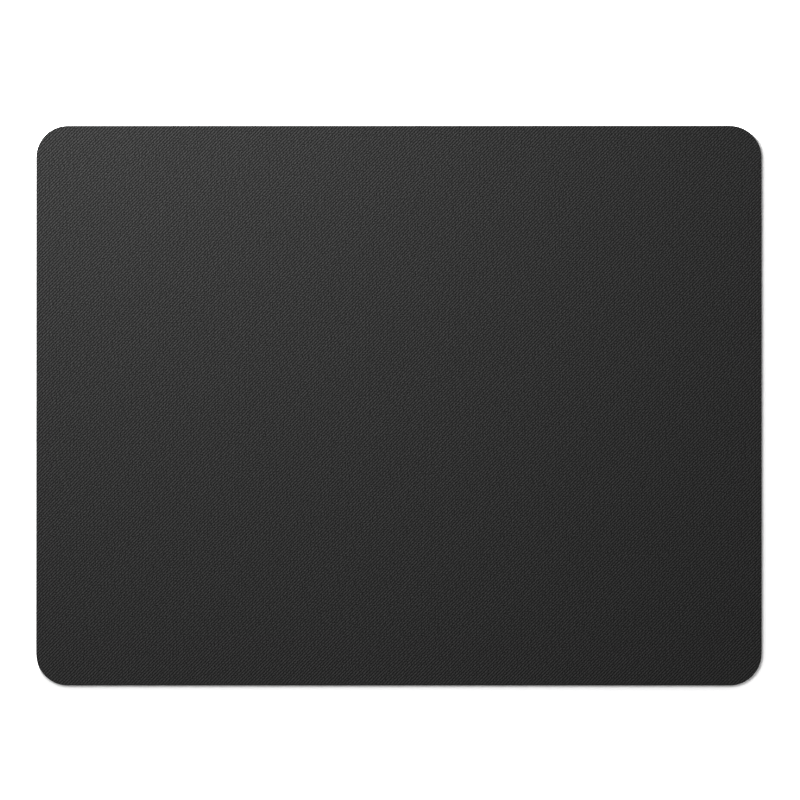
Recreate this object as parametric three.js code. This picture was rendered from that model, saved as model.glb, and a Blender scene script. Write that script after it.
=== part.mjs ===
// A desk mouse pad: a rubber grip skin, a rubber sponge core, an adhesive film and a twill cloth,
// stacked face to face and cut in one stroke to the same rounded rectangle.
// Millimetres, +Z up, +X along the long side, origin in the middle of the underside.

import * as THREE from "three";

// The outline that the cutting die gives to every layer
const padLength = 280;
const padWidth = 216;
const cornerRadius = 12.3;

// The layers, from the desk up
const gripThickness = 0.4;
const coreThickness = 2.05;
const filmThickness = 0.1;
const clothThickness = 0.45;

// The edge as the die leaves it: the skin and the cloth rounded over, the sponge drawn in between them
const gripEdgeRound = 0.15;
const coreSideDish = 0.15;
const clothEdgeRound = 0.2;

// How finely the curves are stepped
const cornerSteps = 18;
const edgeSteps = 4;
const dishSteps = 8;

// Heights of the faces where the layers meet
const coreBottom = gripThickness;
const filmBottom = coreBottom + coreThickness;
const clothBottom = filmBottom + filmThickness;
const clothTop = clothBottom + clothThickness;

// Finishes
const clothGrey = new THREE.MeshStandardMaterial({ color: 0x353535, roughness: 0.85, metalness: 0 });
const filmGrey = new THREE.MeshStandardMaterial({ color: 0x6b6862, roughness: 0.35, metalness: 0 });
const spongeBlack = new THREE.MeshStandardMaterial({ color: 0x1c1c1c, roughness: 0.95, metalness: 0 });
const gripBlack = new THREE.MeshStandardMaterial({ color: 0x161616, roughness: 0.6, metalness: 0 });

// The corners of the outline, counter-clockwise: which way each lies from the middle along X and Y
const cornerSides = [
  [1, 1],
  [-1, 1],
  [-1, -1],
  [1, -1],
];

// The rounded rectangle, drawn in all round by an inset, at one height
function ring(inset, height) {
  const radius = cornerRadius - inset;
  const reachX = padLength / 2 - cornerRadius;
  const reachY = padWidth / 2 - cornerRadius;
  const points = [];
  cornerSides.forEach(([sideX, sideY], quarter) => {
    for (let step = 0; step <= cornerSteps; step++) {
      const angle = ((quarter + step / cornerSteps) * Math.PI) / 2;
      const x = sideX * reachX + radius * Math.cos(angle);
      const y = sideY * reachY + radius * Math.sin(angle);
      points.push(new THREE.Vector3(x, y, height));
    }
  });
  return points;
}

// The two triangles of each side face between a ring and the one above it, facing out
function wallBetween(lower, upper) {
  return lower.flatMap((corner, here) => {
    const next = (here + 1) % lower.length;
    return [corner, lower[next], upper[next], corner, upper[next], upper[here]];
  });
}

// The flat face that closes a ring, facing up
function capOver(points) {
  const flat = points.map((point) => new THREE.Vector2(point.x, point.y));
  const faces = THREE.ShapeUtils.triangulateShape(flat, []);
  return faces.flatMap((face) => face.map((corner) => points[corner]));
}

// A layer of the stack: a closed solid through its rings, listed from the bottom up
// The rings stand at their heights in the stack, so two layers that touch share one exact height
function layer(name, rings, material) {
  const corners = capOver(rings[0]).reverse();
  for (let above = 1; above < rings.length; above++) {
    corners.push(...wallBetween(rings[above - 1], rings[above]));
  }
  corners.push(...capOver(rings[rings.length - 1]));
  const geometry = new THREE.BufferGeometry().setFromPoints(corners);
  geometry.computeVertexNormals();
  const mesh = new THREE.Mesh(geometry, material);
  mesh.name = name;
  return mesh;
}

// The moulded rubber skin that grips the desk, its lower edge rounded
function gripBase() {
  const round = Math.min(gripEdgeRound, gripThickness);
  const rings = [];
  for (let step = 0; step <= edgeSteps; step++) {
    const angle = ((step / edgeSteps) * Math.PI) / 2;
    rings.push(ring(round * (1 - Math.sin(angle)), round * (1 - Math.cos(angle))));
  }
  if (round < gripThickness) {
    rings.push(ring(0, coreBottom));
  }
  return layer("grip_base", rings, gripBlack);
}

// The sponge, squeezed by the die as it was cut, so that its side springs back hollow
function spongeCore() {
  const rings = [];
  for (let step = 0; step <= dishSteps; step++) {
    const share = step / dishSteps;
    const inset = 4 * coreSideDish * share * (1 - share);
    rings.push(ring(inset, coreBottom + share * (filmBottom - coreBottom)));
  }
  return layer("sponge_core", rings, spongeBlack);
}

// The film of hot-melt adhesive that holds the cloth to the sponge
function adhesiveFilm() {
  return layer("adhesive_film", [ring(0, filmBottom), ring(0, clothBottom)], filmGrey);
}

// The twill cloth that the mouse runs on, its upper edge pressed round by the die
function twillCloth() {
  const round = Math.min(clothEdgeRound, clothThickness);
  const rings = [];
  if (round < clothThickness) {
    rings.push(ring(0, clothBottom));
  }
  for (let step = 0; step <= edgeSteps; step++) {
    const angle = ((step / edgeSteps) * Math.PI) / 2;
    rings.push(ring(round * (1 - Math.cos(angle)), clothTop - round * (1 - Math.sin(angle))));
  }
  return layer("twill_cloth", rings, clothGrey);
}

const mousePad = new THREE.Group();
mousePad.add(gripBase(), spongeCore(), adhesiveFilm(), twillCloth());

export default mousePad;
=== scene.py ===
import math

import bmesh
import bpy
import numpy as np
from bpy.props import FloatProperty, FloatVectorProperty, IntProperty, PointerProperty
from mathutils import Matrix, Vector


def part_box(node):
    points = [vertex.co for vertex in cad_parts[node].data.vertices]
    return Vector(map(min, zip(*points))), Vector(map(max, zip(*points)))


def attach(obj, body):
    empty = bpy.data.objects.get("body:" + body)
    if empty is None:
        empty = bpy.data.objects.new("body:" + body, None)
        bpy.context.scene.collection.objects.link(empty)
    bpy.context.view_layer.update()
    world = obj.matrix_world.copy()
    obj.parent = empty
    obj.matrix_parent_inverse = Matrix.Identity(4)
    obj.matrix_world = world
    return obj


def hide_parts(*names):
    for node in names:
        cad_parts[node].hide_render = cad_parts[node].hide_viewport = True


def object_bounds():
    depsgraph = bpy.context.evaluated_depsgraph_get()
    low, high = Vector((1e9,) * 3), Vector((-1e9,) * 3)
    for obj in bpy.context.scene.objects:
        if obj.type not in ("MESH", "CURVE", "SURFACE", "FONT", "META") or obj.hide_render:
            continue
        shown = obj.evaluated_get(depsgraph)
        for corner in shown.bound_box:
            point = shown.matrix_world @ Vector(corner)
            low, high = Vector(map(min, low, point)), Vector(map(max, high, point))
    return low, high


bl_info = {
    "name": "Twill Mouse Pad",
    "version": (1, 0, 0),
    "blender": (4, 5, 0),
    "location": "3D View > Sidebar > Mouse Pad",
    "description": "Dresses a flat mouse pad: twill cloth, glue line, rubber sponge and studded sole",
    "category": "Object",
}

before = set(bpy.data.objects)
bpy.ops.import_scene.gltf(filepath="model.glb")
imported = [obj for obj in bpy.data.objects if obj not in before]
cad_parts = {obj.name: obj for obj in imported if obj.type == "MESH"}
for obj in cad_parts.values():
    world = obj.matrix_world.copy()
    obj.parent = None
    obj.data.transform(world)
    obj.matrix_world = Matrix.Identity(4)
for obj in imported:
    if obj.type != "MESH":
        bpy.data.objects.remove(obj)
frame_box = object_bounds()

# Lengths that count as none, in metres, and the decimals of a height that count
FINE = 1e-6
TINY_EDGE = 2e-6
HEIGHT_DECIMALS = 7

# Which way each corner of the pad lies from its middle, counter-clockwise
CORNER_SIDES = ((1, 1), (-1, 1), (-1, -1), (1, -1))

# The steps that a rounded corner has at least
LEAST_BEND_STEPS = 8

# Distance between the points of the outline that a relief is cut to, in metres
CUT_SPACING = 0.002

# A flat back has more sides than this, and a face that the cut trims has fewer
BACK_SIDES = 100


# Sizes read from the frame


def node_points(node):
    """Every vertex of a CAD node, one row each."""
    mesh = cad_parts[node].data
    points = np.empty(len(mesh.vertices) * 3, np.float32)
    mesh.vertices.foreach_get("co", points)
    return points.reshape(-1, 3).astype(float)


def corner_radius_of(node):
    """The radius of a node's rounded corners, from where its straight back side ends."""
    points = node_points(node)
    highest = points.max(axis=0)
    back_side = points[points[:, 1] > highest[1] - FINE]
    return float(highest[0] - back_side[:, 0].max())


def edge_profile(node):
    """A node's edge from the bottom up: each height, and how far the outline is drawn in there."""
    points = node_points(node)
    widest = points[:, 0].max()
    heights = np.unique(points[:, 2].round(HEIGHT_DECIMALS))
    levels = [points[np.abs(points[:, 2] - height) < FINE] for height in heights]
    return [(widest - level[:, 0].max(), float(level[0, 2])) for level in levels]


PAD_LOW, PAD_HIGH = (Vector(corner) for corner in frame_box)
HALF_LENGTH = PAD_HIGH.x
HALF_WIDTH = PAD_HIGH.y
CORNER_RADIUS = corner_radius_of("adhesive_film")
CLOTH_BOTTOM, CLOTH_TOP = (corner[2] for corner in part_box("twill_cloth"))
SOLE_BOTTOM, SOLE_TOP = (corner[2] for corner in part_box("grip_base"))


def reach_of_slab(margin):
    """Half the side of a square that covers the pad at any angle, with a margin."""
    return math.hypot(HALF_LENGTH, HALF_WIDTH) + margin


# Settings


class TwillSettings(bpy.types.PropertyGroup):
    """The woven cloth."""

    pitch: FloatProperty(
        name="Ridge pitch",
        description="Distance from one diagonal ridge to the next, square to them",
        default=0.00094,
        unit="LENGTH",
    )
    depth: FloatProperty(
        name="Groove depth",
        description="How far the grooves lie below the ridges",
        default=0.00013,
        unit="LENGTH",
    )
    crown: FloatProperty(
        name="Crown",
        description="Width of a ridge's flat top as a share of the ridge pitch",
        default=0.34,
        subtype="FACTOR",
    )
    lean: FloatProperty(
        name="Twill angle",
        description="Direction of the ridges, up from the long side",
        default=math.radians(45),
        subtype="ANGLE",
    )
    float_length: FloatProperty(
        name="Slub length",
        description="Distance over which a ridge swells and thins",
        default=0.0022,
        unit="LENGTH",
    )
    unevenness: FloatProperty(
        name="Unevenness",
        description="How much the ridges swell and thin, as a share of their size",
        default=0.3,
        subtype="FACTOR",
    )
    slub_depth: FloatProperty(
        name="Slub strength",
        description="How much paler and darker the yarn is from one slub to the next",
        default=0.18,
        subtype="FACTOR",
    )
    fleck_depth: FloatProperty(
        name="Fleck strength",
        description="How much paler and darker the yarn is from one crossing to the next",
        default=0.85,
        subtype="FACTOR",
    )
    # Painted highlight on the highest part of each float
    bead_highlight: FloatProperty(
        name="Beading",
        description="How much paler the yarn is where a float stands highest",
        default=0.08,
        subtype="FACTOR",
    )
    # Painted light and shade along each float
    float_highlight: FloatProperty(
        name="Float strength",
        description="How much paler a float is in its middle than where it dips at its ends",
        default=0.17,
        subtype="FACTOR",
    )
    # Painted shade in the seams between yarns
    seam_shade_depth: FloatProperty(
        name="Thread strength",
        description="How much darker the cloth is where one yarn meets the next",
        default=0.35,
        subtype="FACTOR",
    )
    yarn_pitch: FloatProperty(
        name="Yarn pitch",
        description="Distance from one yarn to the next, along either side of the pad",
        default=0.000333,
        unit="LENGTH",
    )
    ridge_colour: FloatVectorProperty(
        name="Ridge colour",
        description="Colour of the yarn on the ridges",
        default=(0.0427, 0.0427, 0.0427),
        subtype="COLOR",
    )
    # Partly the darker yarn in the grooves, partly painted shade in them
    groove_colour: FloatVectorProperty(
        name="Groove colour",
        description="Colour of the yarn in the grooves",
        default=(0.0014, 0.0014, 0.0014),
        subtype="COLOR",
    )
    seed: IntProperty(name="Seed", description="Picks the slubs", default=7)


class FilmSettings(bpy.types.PropertyGroup):
    """The line of adhesive between cloth and sponge."""

    wander: FloatProperty(
        name="Wander",
        description="How far the edge of the film wanders back from the cut",
        default=0.00006,
        unit="LENGTH",
    )
    step: FloatProperty(
        name="Step",
        description="Distance between the points of the wandering edge",
        default=0.0012,
        unit="LENGTH",
    )
    colour: FloatVectorProperty(
        name="Film colour",
        description="Colour of the set adhesive",
        default=(0.06, 0.057, 0.05),
        subtype="COLOR",
    )
    seed: IntProperty(name="Seed", description="Picks how the edge wanders", default=3)


class SpongeSettings(bpy.types.PropertyGroup):
    """The rubber sponge, whose cut side shows."""

    cell: FloatProperty(
        name="Cell size",
        description="Size of the larger pores that the cut opens",
        default=0.0005,
        unit="LENGTH",
    )
    depth: FloatProperty(
        name="Pore depth",
        description="How far the opened pores reach in from the cut side",
        default=0.00012,
        unit="LENGTH",
    )
    grid: FloatProperty(
        name="Grid",
        description="Distance between the points of the cut side",
        default=0.0003,
        unit="LENGTH",
    )
    wall_colour: FloatVectorProperty(
        name="Rubber colour",
        description="Colour of the rubber between the pores",
        default=(0.016, 0.0158, 0.0155),
        subtype="COLOR",
    )
    # Painted shade: the pores are darkened for the shade inside them
    pore_shade_colour: FloatVectorProperty(
        name="Pore colour",
        description="Colour inside the pores",
        default=(0.004, 0.004, 0.004),
        subtype="COLOR",
    )
    seed: IntProperty(name="Seed", description="Picks the pores", default=11)


class SoleSettings(bpy.types.PropertyGroup):
    """The moulded studs of the underside."""

    pitch: FloatProperty(
        name="Stud pitch",
        description="Distance from one stud to the next",
        default=0.003,
        unit="LENGTH",
    )
    depth: FloatProperty(
        name="Groove depth",
        description="Height of the studs above the grooves between them",
        default=0.0002,
        unit="LENGTH",
    )
    groove_share: FloatProperty(
        name="Groove share",
        description="Width of a groove as a share of the stud pitch",
        default=0.36,
        subtype="FACTOR",
    )
    lean: FloatProperty(
        name="Stud angle",
        description="Direction of the rows of studs, up from the long side",
        default=math.radians(45),
        subtype="ANGLE",
    )
    stud_colour: FloatVectorProperty(
        name="Stud colour",
        description="Colour of the studs, where they touch the desk",
        default=(0.014, 0.014, 0.0142),
        subtype="COLOR",
    )
    groove_colour: FloatVectorProperty(
        name="Groove colour",
        description="Colour of the rubber in the grooves",
        default=(0.008, 0.008, 0.0082),
        subtype="COLOR",
    )


class StageSettings(bpy.types.PropertyGroup):
    """The floor, the lights and the camera."""

    floor_size: FloatProperty(
        name="Floor size",
        description="Side of the square floor",
        default=6.0,
        unit="LENGTH",
    )
    floor_colour: FloatVectorProperty(
        name="Floor colour",
        description="Colour of the floor",
        default=(0.9, 0.9, 0.9),
        subtype="COLOR",
    )
    sky: FloatProperty(
        name="Sky",
        description="Brightness of the even light from all round",
        default=0.85,
    )
    key_power: FloatProperty(
        name="Key power",
        description="Power of the softbox that stands to the back left of the pad",
        default=7.28,
        unit="POWER",
    )
    key_place: FloatVectorProperty(
        name="Key place",
        description="Middle of the key softbox",
        default=(-0.187, 0.298, 0.34),
        subtype="TRANSLATION",
    )
    key_size: FloatProperty(
        name="Key size",
        description="Side of the square key softbox",
        default=0.12,
        unit="LENGTH",
    )
    fill_power: FloatProperty(
        name="Fill power",
        description="Power of the softbox that hangs high over the pad",
        default=7.33,
        unit="POWER",
    )
    fill_place: FloatVectorProperty(
        name="Fill place",
        description="Middle of the fill softbox",
        default=(-0.189, 0.192, 1.2),
        subtype="TRANSLATION",
    )
    fill_size: FloatProperty(
        name="Fill size",
        description="Side of the square fill softbox",
        default=0.3,
        unit="LENGTH",
    )
    gamma: FloatProperty(
        name="Gamma",
        description="Gamma of the picture: below 1, darks are deeper beside the white floor",
        default=0.7,
    )
    lens: FloatProperty(
        name="Lens",
        description="Focal length of the camera",
        default=400.0,
        unit="CAMERA",
    )


# Shader maths


class Wire:
    """The output socket of a node. Arithmetic on it adds Math nodes."""

    def __init__(self, finish, socket):
        self.finish = finish
        self.socket = socket

    def __add__(self, other):
        return self.finish.math("ADD", self, other)

    def __radd__(self, other):
        return self.finish.math("ADD", other, self)

    def __sub__(self, other):
        return self.finish.math("SUBTRACT", self, other)

    def __rsub__(self, other):
        return self.finish.math("SUBTRACT", other, self)

    def __mul__(self, other):
        return self.finish.math("MULTIPLY", self, other)

    def __rmul__(self, other):
        return self.finish.math("MULTIPLY", other, self)

    def __truediv__(self, other):
        return self.finish.math("DIVIDE", self, other)

    def __rtruediv__(self, other):
        return self.finish.math("DIVIDE", other, self)

    def sine(self):
        return self.finish.math("SINE", self)

    def cosine(self):
        return self.finish.math("COSINE", self)

    def floor(self):
        return self.finish.math("FLOOR", self)

    def fraction(self):
        return self.finish.math("FRACT", self)


class Finish:
    """A material in the making: one Principled shader and the nodes that feed it."""

    def __init__(self, name, roughness, specular, sheen=0.0):
        self.material = bpy.data.materials.new(name)
        self.material.use_nodes = True
        self.tree = self.material.node_tree
        self.shader = self.tree.nodes["Principled BSDF"]
        self.feed("Roughness", roughness)
        self.feed("Specular IOR Level", specular)
        self.feed("Sheen Weight", sheen)

    def join(self, socket, value):
        """Sets an input socket to a number or colour, or links a wire to it."""
        if isinstance(value, Wire):
            self.tree.links.new(value.socket, socket)
        else:
            socket.default_value = value

    def feed(self, name, value):
        """Gives the shader's input of that name a number, a colour or a wire."""
        self.join(self.shader.inputs[name], value)

    def node(self, kind, settings=None, sockets=None, output=0):
        """Adds a node: its settings first, then the values or wires of its sockets."""
        made = self.tree.nodes.new(kind)
        for name, value in (settings or {}).items():
            if name == "stops":
                self.set_stops(made.color_ramp, value)
            else:
                setattr(made, name, value)
        for name, value in (sockets or {}).items():
            self.join(made.inputs[name], value)
        return Wire(self, made.outputs[output])

    def set_stops(self, ramp, stops):
        """Gives a colour ramp its stops, each a place and a grey level."""
        while len(ramp.elements) < len(stops):
            ramp.elements.new(1.0)
        for element, (place, level) in zip(ramp.elements, stops):
            element.position = place
            element.color = (level, level, level, 1.0)

    def math(self, operation, *values):
        """A Math node on numbers or wires."""
        sockets = dict(enumerate(values))
        return self.node("ShaderNodeMath", {"operation": operation}, sockets)

    def place(self):
        """The point's place on the pad, as a vector."""
        return self.node("ShaderNodeTexCoord", output="Object")

    def axes(self, vector):
        """The X, Y and Z of a vector."""
        split = self.node("ShaderNodeSeparateXYZ", sockets={"Vector": vector})
        return [Wire(self, socket) for socket in split.socket.node.outputs]

    def vector(self, x, y):
        """A vector with no Z, for the textures of a flat pattern."""
        return self.node("ShaderNodeCombineXYZ", sockets={"X": x, "Y": y})

    def noise(self, vector, scale, detail=2.0):
        """Soft noise from 0 to 1."""
        sockets = {"Vector": vector, "Scale": scale, "Detail": detail}
        return self.node("ShaderNodeTexNoise", sockets=sockets, output="Fac")

    def fleck(self, column, row):
        """A tone of its own, from 0 to 1, for each crossing of two yarns."""
        sockets = {"Vector": self.vector(column, row)}
        return self.node("ShaderNodeTexWhiteNoise", sockets=sockets)

    def cells(self, vector, scale):
        """Distance from the middle of the nearest cell, in cells."""
        sockets = {"Vector": vector, "Scale": scale}
        return self.node("ShaderNodeTexVoronoi", sockets=sockets, output="Distance")

    def ramp(self, value, stops):
        """A value bent by a colour ramp's grey levels."""
        return self.node("ShaderNodeValToRGB", {"stops": stops}, {"Fac": value})

    def step_up(self, value, low, high):
        """0 up to the low value, 1 from the high one, and even between them."""
        return self.ramp(value, [(low, 0.0), (high, 1.0)])

    def blend(self, share, low_colour, high_colour):
        """A colour between two, by a share from 0 to 1."""
        # A Mix node's sockets for colours come after those for numbers and vectors
        factor, low, high, mixed = 0, 6, 7, 2
        sockets = {
            factor: share,
            low: with_alpha(low_colour),
            high: with_alpha(high_colour),
        }
        return self.node("ShaderNodeMix", {"data_type": "RGBA"}, sockets, output=mixed)

    def bump(self, height, distance):
        """Raises the surface by a height map, without moving its mesh."""
        sockets = {"Height": height, "Distance": distance}
        self.feed("Normal", self.node("ShaderNodeBump", sockets=sockets))


def with_alpha(colour):
    """A colour setting as the four numbers that a colour socket holds."""
    return (*colour, 1.0)


# Finishes


def groove_shade_and_tone_of(finish, ridge, crown):
    """How high a point lies on its ridge: 1 on the flat top, and least in the middle of the groove. As a
    colour share it paints the grooves darker, partly the yarn's own tone and partly painted shade.
    """
    least = 0.1
    flank = (1 - crown) / 2
    stops = [(0.0, least), (flank, 1.0), (1 - flank, 1.0), (1.0, least)]
    return finish.ramp(ridge.fraction(), stops)


def float_highlights_of(twill, x, y):
    """Painted light and shade of the floats: paler on the beads along a ridge and in the middle of each
    float, darker where a float dips.
    """
    slant_share = 0.6
    repeat = 2 * math.pi * math.sin(twill.lean) / twill.pitch
    bead = (x * repeat).cosine()
    along_wave = ((x + y) * (2 * repeat)).cosine()
    slant_wave = ((x * 2 - y) * repeat).cosine()
    hump = along_wave + slant_share * slant_wave
    return 1 + twill.bead_highlight * bead + twill.float_highlight * hump


def flecks_of(finish, twill, x, y):
    """The tone of each crossing of two yarns, set off from the tones of its neighbours."""
    column = (x / twill.yarn_pitch).floor()
    row = (y / twill.yarn_pitch).floor()
    neighbours = finish.fleck(column + 1, row + 1) + finish.fleck(column + 1, row - 1)
    return 1 + twill.fleck_depth * (finish.fleck(column, row) - neighbours / 2)


def thread_seam_shade_of(twill, x, y):
    """Painted shade in the seams where one yarn meets the next, which makes single yarns stand out."""
    weft_share = 0.6
    turn = 2 * math.pi / twill.yarn_pitch
    seam_shade = (x * turn).cosine() + weft_share * (y * turn).cosine()
    return 1 - twill.seam_shade_depth * seam_shade


def thread_relief_of(twill, x, along, across, fibre):
    """The height of a thread: its round back, the twist that winds round it and its loose fibres."""
    twist_lean = 0.5
    twists_per_yarn = 1.5
    round_share, twist_share, fibre_share = 0.6, 0.25, 0.6
    turn = 2 * math.pi / twill.yarn_pitch
    round_back = (x * turn).sine()
    winding = (along + twist_lean * across) * (twists_per_yarn * turn)
    return round_share * round_back + twist_share * winding.sine() + fibre_share * fibre


def twill_finish(twill):
    """Charcoal yarn, paler on the ridges and dark in the grooves, partly yarn tone and partly painted
    shade, with painted highlights on the floats and painted shade between yarns; slubby, twisted and
    slightly fuzzy.
    """
    fuzz = 0.3
    fibres_per_yarn = 2
    thread_height = 0.00001
    # Below 1, so that the palest flecks still differ from each other
    middle_paleness = 0.7
    finish = Finish("charcoal_twill", roughness=0.9, specular=0.12, sheen=0.02)
    place = finish.place()
    x, y, _ = finish.axes(place)
    along = x * math.cos(twill.lean) + y * math.sin(twill.lean)
    across = y * math.cos(twill.lean) - x * math.sin(twill.lean)
    ridge = (across + reach_of_slab(twill.pitch)) / twill.pitch
    slub = finish.noise(finish.vector(along / twill.float_length, ridge), 1.0, detail=1.0)
    fibre = finish.noise(place, fibres_per_yarn / twill.yarn_pitch)
    # Random flecks, with painted highlights on the floats and painted shade between yarns
    weave_tone_and_shade = float_highlights_of(twill, x, y) * flecks_of(finish, twill, x, y) * thread_seam_shade_of(twill, x, y)
    yarn = (1 + twill.slub_depth * (2 * slub - 1)) * (1 + fuzz * (fibre - 0.5))
    # Paler ridges and darker grooves: partly the yarn's own tone, partly painted shade
    paleness = middle_paleness * groove_shade_and_tone_of(finish, ridge, twill.crown) * weave_tone_and_shade * yarn
    colour = finish.blend(paleness, twill.groove_colour, twill.ridge_colour)
    finish.feed("Base Color", colour)
    finish.bump(thread_relief_of(twill, x, along, across, fibre), thread_height)
    return finish.material


def film_finish(film):
    """Set hot-melt adhesive: smoky, smooth, with a faint waviness."""
    clouds_per_metre = 900
    darkest_share = 0.6
    wave_height = 0.00003
    finish = Finish("hot_melt_film", roughness=0.35, specular=0.5)
    cloud = finish.noise(finish.place(), clouds_per_metre)
    darkest = [darkest_share * part for part in film.colour]
    finish.feed("Base Color", finish.blend(cloud, darkest, film.colour))
    finish.bump(cloud, wave_height)
    return finish.material


def sponge_finish(sponge):
    """Black foamed rubber, with fine pores between the large ones of the mesh, the pores darkened with
    painted shade.
    """
    pinholes_per_cell = 2.6
    pore_share = 0.6
    pore_height = 0.00008
    finish = Finish("foamed_rubber", roughness=0.92, specular=0.25)
    place = finish.place()
    pores = finish.cells(place, 1 / sponge.cell)
    pinholes = finish.cells(place, pinholes_per_cell / sponge.cell)
    pore_walls = finish.step_up(pores, low=0.18, high=0.42)
    pinhole_walls = finish.step_up(pinholes, low=0.1, high=0.38)
    walls = pore_share * pore_walls + (1 - pore_share) * pinhole_walls
    # The pores take the darker colour: painted shade inside them
    finish.feed("Base Color", finish.blend(walls, sponge.pore_shade_colour, sponge.wall_colour))
    finish.bump(walls, pore_height)
    return finish.material


def sole_finish(sole):
    """Moulded rubber: the studs dulled where they touch the desk, the grooves a little dusty."""
    patches_per_metre = 220
    patchiness = 0.8
    grains_per_metre = 6000
    grain_height = 0.00002
    smoothest, wear, dust = 0.5, 0.12, 0.15
    finish = Finish("moulded_rubber", roughness=smoothest, specular=0.4)
    place = finish.place()
    _, _, z = finish.axes(place)
    touching = finish.step_up(1 - (z - SOLE_BOTTOM) / sole.depth, low=0.2, high=0.9)
    patch = finish.noise(place, patches_per_metre, detail=4.0)
    share = touching * (1 + patchiness * (patch - 0.5))
    finish.feed("Base Color", finish.blend(share, sole.groove_colour, sole.stud_colour))
    finish.feed("Roughness", smoothest + wear * touching + dust * patch)
    finish.bump(finish.noise(place, grains_per_metre), grain_height)
    return finish.material


def floor_finish(stage):
    """A plain pale floor."""
    finish = Finish("pale_floor", roughness=0.9, specular=0.0)
    finish.feed("Base Color", with_alpha(stage.floor_colour))
    return finish.material


# Meshes


def add_piece(name, points, faces):
    """A new object from points and faces, in the scene."""
    mesh = bpy.data.meshes.new(name)
    mesh.from_pydata(points, [], faces)
    piece = bpy.data.objects.new(name, mesh)
    bpy.context.scene.collection.objects.link(piece)
    return piece


def on_circle(middle, radius, angle):
    """The point of a circle at an angle."""
    x = middle[0] + radius * math.cos(angle)
    y = middle[1] + radius * math.sin(angle)
    return x, y


def outline(inset, spacing):
    """The pad's outline drawn in by an inset, counter-clockwise, with points about a spacing apart."""
    radius = CORNER_RADIUS - inset
    reach = (HALF_LENGTH - CORNER_RADIUS, HALF_WIDTH - CORNER_RADIUS)
    bend_steps = max(LEAST_BEND_STEPS, round(math.pi / 2 * CORNER_RADIUS / spacing))
    points = []
    for quarter, (side_x, side_y) in enumerate(CORNER_SIDES):
        middle = (side_x * reach[0], side_y * reach[1])
        for step in range(bend_steps):
            angle = (quarter + step / bend_steps) * math.pi / 2
            points.append(on_circle(middle, radius, angle))
        end = (quarter + 1) * math.pi / 2
        x, y = on_circle(middle, radius, end)
        run = 2 * reach[quarter % 2]
        run_steps = max(1, round(run / spacing))
        for step in range(run_steps):
            moved = run * step / run_steps
            points.append((x - moved * math.sin(end), y + moved * math.cos(end)))
    return points


def loft(name, rings):
    """A closed solid through rings of the same number of points, from the bottom up."""
    count = len(rings[0])
    points = [point for ring in rings for point in ring]
    faces = [tuple(reversed(range(count)))]
    for level in range(len(rings) - 1):
        base = level * count
        for here in range(count):
            after = (here + 1) % count
            faces.append(
                (base + here, base + after, base + count + after, base + count + here)
            )
    faces.append(tuple(range(len(points) - count, len(points))))
    return add_piece(name, points, faces)


def cut_blank(name, node):
    """A plain solid with a CAD node's edge, which a relief is cut to."""
    rings = [
        [(x, y, height) for x, y in outline(inset, CUT_SPACING)]
        for inset, height in edge_profile(node)
    ]
    return loft(name, rings)


def ridge_lines(count, shoulder):
    """The lines of a row of ridges: how many ridges along each lies, and 0 in a groove or 1 on a top.

    shoulder is how far from its groove a ridge's flat top begins, as a share of the pitch.
    """
    lines = np.add.outer(np.arange(count), [0.0, shoulder, 1 - shoulder])
    levels = np.tile([0.0, 1.0, 1.0], count)
    return lines.ravel(), levels


def relief_slab(name, along, across, heights, lean, back):
    """A square slab, turned by an angle, with a relief on one face and a flat back.

    along, across and heights are grids of the relief's points, and back is the flat face's height.
    """
    rows, columns = heights.shape
    x = along * math.cos(lean) - across * math.sin(lean)
    y = along * math.sin(lean) + across * math.cos(lean)
    relief = np.stack([x, y, heights], axis=-1).reshape(-1, 3)
    index = np.arange(rows * columns).reshape(rows, columns)
    border = np.concatenate(
        [index[0, :-1], index[:-1, -1], index[-1, :0:-1], index[:0:-1, 0]]
    )
    flat = relief[border].copy()
    flat[:, 2] = back
    middle = len(relief) + len(border)
    points = np.concatenate([relief, flat, [[0.0, 0.0, back]]])
    quads = np.stack(
        [index[:-1, :-1], index[:-1, 1:], index[1:, 1:], index[1:, :-1]], axis=-1
    ).reshape(-1, 4)
    below = len(relief) + np.arange(len(border))
    sides = np.stack(
        [border, below, np.roll(below, -1), np.roll(border, -1)], axis=-1
    )
    fan = np.stack([np.full(len(border), middle), np.roll(below, -1), below], axis=-1)
    if back > heights.max():
        quads, sides, fan = quads[:, ::-1], sides[:, ::-1], fan[:, ::-1]
    faces = quads.tolist() + sides.tolist() + fan.tolist()
    return add_piece(name, points.tolist(), faces)


def is_idle(point):
    """Whether a mesh's point joins two edges that run on in one line."""
    if len(point.link_edges) != 2:
        return False
    before, after = (edge.other_vert(point).co for edge in point.link_edges)
    area = (before - point.co).cross(after - point.co).length
    return area < FINE * (after - before).length


def clean_cut(mesh):
    """Takes out the idle points, tiny edges and many-sided faces that a cut leaves along the outline."""
    most_sides = 4
    form = bmesh.new()
    form.from_mesh(mesh)
    idle = [point for point in form.verts if is_idle(point)]
    bmesh.ops.dissolve_verts(form, verts=idle)
    bmesh.ops.remove_doubles(form, verts=form.verts, dist=TINY_EDGE)
    odd = [face for face in form.faces if most_sides < len(face.verts) < BACK_SIDES]
    bmesh.ops.triangulate(form, faces=odd, quad_method="BEAUTY", ngon_method="BEAUTY")
    form.to_mesh(mesh)
    form.free()


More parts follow.
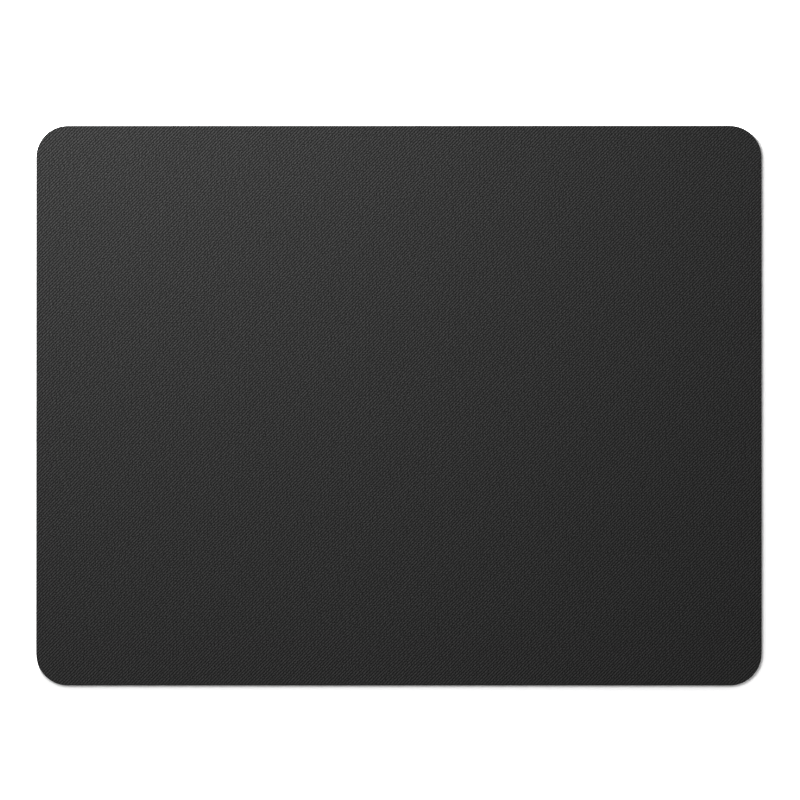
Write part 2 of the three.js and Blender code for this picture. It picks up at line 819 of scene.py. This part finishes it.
def cut_to(piece, blank):
    """Keeps what a relief slab and a blank share, and drops the blank."""
    cut = piece.modifiers.new("Die cut", "BOOLEAN")
    cut.operation = "INTERSECT"
    cut.solver = "MANIFOLD"
    cut.object = blank
    depsgraph = bpy.context.evaluated_depsgraph_get()
    shape = bpy.data.meshes.new_from_object(piece.evaluated_get(depsgraph))
    piece.modifiers.clear()
    piece.data = shape
    bpy.data.objects.remove(blank)
    if not shape.polygons:
        raise RuntimeError(f"{piece.name} came out empty")
    clean_cut(shape)


def shade(piece, crease_degrees):
    """Smooth shading, with a sharp edge wherever the surface turns by more than the crease."""
    piece.data.shade_smooth()
    piece.data.set_sharp_from_angle(angle=math.radians(crease_degrees))


def dress(piece, node, material):
    """Gives a piece its finish, and puts it in the place of its CAD node."""
    piece.data.materials.clear()
    piece.data.materials.append(material)
    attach(piece, "root")
    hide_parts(node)


# Operators


class MOUSEPAD_OT_twill_cloth(bpy.types.Operator):
    """Makes the cloth, with diagonal ridges that swell and thin, cut to the pad's outline"""

    bl_idname = "mousepad.twill_cloth"
    bl_label = "Twill cloth"

    # How far a ridge's lines sway sideways, of its pitch, and its slubs slip along it, of their length
    SWAY_SHARE = 0.12
    SLIP_SHARE = 0.3

    def relief(self, twill):
        """The grids of the relief's points: along and across the ridges, and how high."""
        draw = np.random.default_rng(twill.seed)
        reach = reach_of_slab(twill.pitch)
        ridges = math.ceil(2 * reach / twill.pitch)
        stations = math.ceil(2 * reach / twill.float_length)
        line, level = ridge_lines(ridges, (1 - twill.crown) / 2)
        grid = (len(line), stations)
        lift = level[:, None] * (1 - twill.unevenness * draw.random(grid))
        sway = self.SWAY_SHARE * twill.unevenness * twill.pitch
        across = (line * twill.pitch - reach)[:, None] + sway * draw.uniform(-1, 1, grid)
        slip = self.SLIP_SHARE * twill.float_length
        along = np.linspace(-reach, reach, stations) + slip * draw.uniform(-1, 1, grid)
        return along, across, CLOTH_TOP - FINE - twill.depth * (1 - lift)

    def execute(self, context):
        twill = context.scene.mousepad_twill
        back = CLOTH_BOTTOM - twill.depth
        cloth = relief_slab("woven_top", *self.relief(twill), twill.lean, back)
        cut_to(cloth, cut_blank("cloth_blank", "twill_cloth"))
        shade(cloth, crease_degrees=32)
        dress(cloth, "twill_cloth", twill_finish(twill))
        return {"FINISHED"}


class MOUSEPAD_OT_adhesive_film(bpy.types.Operator):
    """Makes the film of adhesive, whose edge wanders a little back from the cut"""

    bl_idname = "mousepad.adhesive_film"
    bl_label = "Adhesive film"

    def execute(self, context):
        film = context.scene.mousepad_film
        draw = np.random.default_rng(film.seed)
        full = np.array(outline(0.0, film.step))
        drawn = np.array(outline(film.wander, film.step))
        rings = []
        for _, height in edge_profile("adhesive_film"):
            draws = draw.random(len(full))
            back = (draws + np.roll(draws, 1) + np.roll(draws, -1)) / 3
            ring = full + (drawn - full) * back[:, None]
            rings.append([(x, y, height) for x, y in ring])
        piece = loft("glue_line", rings)
        shade(piece, crease_degrees=40)
        dress(piece, "adhesive_film", film_finish(film))
        return {"FINISHED"}


class MOUSEPAD_OT_sponge_core(bpy.types.Operator):
    """Makes the rubber sponge, with pores that the cut has opened along its side"""

    bl_idname = "mousepad.sponge_core"
    bl_label = "Sponge core"

    # The power that turns even chances into many shallow pores and a few deep ones
    PORE_POWER = 3

    def execute(self, context):
        sponge = context.scene.mousepad_sponge
        draw = np.random.default_rng(sponge.seed)
        profile = edge_profile("sponge_core")
        full = np.array(outline(0.0, sponge.grid))
        drawn = np.array(outline(sponge.depth, sponge.grid))
        inward = (drawn - full) / sponge.depth
        rings = []
        for level, (inset, height) in enumerate(profile):
            pores = draw.random(len(full)) ** self.PORE_POWER
            if level in (0, len(profile) - 1):
                pores = pores * 0.0
            ring = full + inward * (inset + sponge.depth * pores)[:, None]
            rings.append([(x, y, height) for x, y in ring])
        piece = loft("foam_sheet", rings)
        shade(piece, crease_degrees=50)
        dress(piece, "sponge_core", sponge_finish(sponge))
        return {"FINISHED"}


class MOUSEPAD_OT_grip_sole(bpy.types.Operator):
    """Makes the rubber sole, with rows of moulded studs cut to the pad's outline"""

    bl_idname = "mousepad.grip_sole"
    bl_label = "Grip sole"

    def execute(self, context):
        sole = context.scene.mousepad_sole
        reach = reach_of_slab(sole.pitch)
        studs = math.ceil(2 * reach / sole.pitch)
        line, level = ridge_lines(studs, sole.groove_share / 2)
        line = line * sole.pitch - reach
        across, along = np.meshgrid(line, line, indexing="ij")
        raised = np.minimum.outer(level, level)
        heights = SOLE_BOTTOM + FINE + sole.depth * (1 - raised)
        back = SOLE_TOP + sole.depth
        piece = relief_slab("studded_sole", along, across, heights, sole.lean, back)
        cut_to(piece, cut_blank("sole_blank", "grip_base"))
        shade(piece, crease_degrees=12)
        dress(piece, "grip_base", sole_finish(sole))
        return {"FINISHED"}


class MOUSEPAD_OT_stage(bpy.types.Operator):
    """Makes the pale floor, the soft lights and the camera straight above the pad"""

    bl_idname = "mousepad.stage"
    bl_label = "Stage"

    # The photograph's frame and the pad in it, in pixels
    FRAME_PIXELS = 800
    PAD_MIDDLE_PIXELS = (398.83, 405.61)
    PAD_LENGTH_PIXELS = 725.5

    def add_camera(self, stage):
        """A camera that looks straight down, with the pad where the photograph has it."""
        lens = bpy.data.cameras.new("camera")
        lens.lens = stage.lens
        pixel = 2 * HALF_LENGTH / self.PAD_LENGTH_PIXELS
        width = self.FRAME_PIXELS * pixel
        middle = self.FRAME_PIXELS / 2
        camera = bpy.data.objects.new("camera", lens)
        camera.location = (
            (middle - self.PAD_MIDDLE_PIXELS[0]) * pixel,
            (self.PAD_MIDDLE_PIXELS[1] - middle) * pixel,
            PAD_HIGH.z + width * lens.lens / lens.sensor_width,
        )
        bpy.context.scene.collection.objects.link(camera)
        bpy.context.scene.camera = camera

    def add_floor(self, stage):
        """The square floor that the pad lies on."""
        half = stage.floor_size / 2
        points = [(side_x * half, side_y * half, PAD_LOW.z) for side_x, side_y in CORNER_SIDES]
        floor = add_piece("floor", points, [(0, 1, 2, 3)])
        floor.data.materials.append(floor_finish(stage))

    def add_sky(self, stage):
        """White light that is even from all round."""
        sky = bpy.data.worlds.new("studio")
        sky.use_nodes = True
        background = sky.node_tree.nodes["Background"]
        background.inputs["Color"].default_value = (1.0, 1.0, 1.0, 1.0)
        background.inputs["Strength"].default_value = stage.sky
        bpy.context.scene.world = sky

    def add_softbox(self, name, place, size, power):
        """A square light that faces the middle of the pad."""
        light = bpy.data.lights.new(name, "AREA")
        light.size = size
        light.energy = power
        softbox = bpy.data.objects.new(name, light)
        softbox.location = place
        direction = Vector((0.0, 0.0, PAD_HIGH.z)) - Vector(place)
        softbox.rotation_euler = direction.to_track_quat("-Z", "Y").to_euler()
        softbox.visible_camera = False
        bpy.context.scene.collection.objects.link(softbox)

    def execute(self, context):
        stage = context.scene.mousepad_stage
        self.add_camera(stage)
        self.add_floor(stage)
        self.add_sky(stage)
        self.add_softbox("key_softbox", stage.key_place, stage.key_size, stage.key_power)
        self.add_softbox("fill_softbox", stage.fill_place, stage.fill_size, stage.fill_power)
        context.scene.view_settings.view_transform = "Standard"
        context.scene.view_settings.gamma = stage.gamma
        return {"FINISHED"}


OPERATORS = (
    MOUSEPAD_OT_stage,
    MOUSEPAD_OT_grip_sole,
    MOUSEPAD_OT_sponge_core,
    MOUSEPAD_OT_adhesive_film,
    MOUSEPAD_OT_twill_cloth,
)

SETTINGS = {
    "mousepad_twill": TwillSettings,
    "mousepad_film": FilmSettings,
    "mousepad_sponge": SpongeSettings,
    "mousepad_sole": SoleSettings,
    "mousepad_stage": StageSettings,
}


class MOUSEPAD_PT_panel(bpy.types.Panel):
    """Lists the pieces of the mouse pad and their settings"""

    bl_idname = "MOUSEPAD_PT_panel"
    bl_label = "Mouse Pad"
    bl_space_type = "VIEW_3D"
    bl_region_type = "UI"
    bl_category = "Mouse Pad"

    def draw(self, context):
        for operator in OPERATORS:
            self.layout.operator(operator.bl_idname)
        for name, group in SETTINGS.items():
            box = self.layout.box()
            box.label(text=group.__doc__)
            for setting in group.__annotations__:
                box.prop(getattr(context.scene, name), setting)


def register():
    for part in (*SETTINGS.values(), *OPERATORS, MOUSEPAD_PT_panel):
        bpy.utils.register_class(part)
    for name, group in SETTINGS.items():
        setattr(bpy.types.Scene, name, PointerProperty(type=group))


def unregister():
    for name in SETTINGS:
        delattr(bpy.types.Scene, name)
    for part in (MOUSEPAD_PT_panel, *reversed(OPERATORS), *SETTINGS.values()):
        bpy.utils.unregister_class(part)


def main():
    register()
    bpy.ops.mousepad.stage()
    bpy.ops.mousepad.grip_sole()
    bpy.ops.mousepad.sponge_core()
    bpy.ops.mousepad.adhesive_film()
    bpy.ops.mousepad.twill_cloth()


if __name__ == "__main__":
    main()
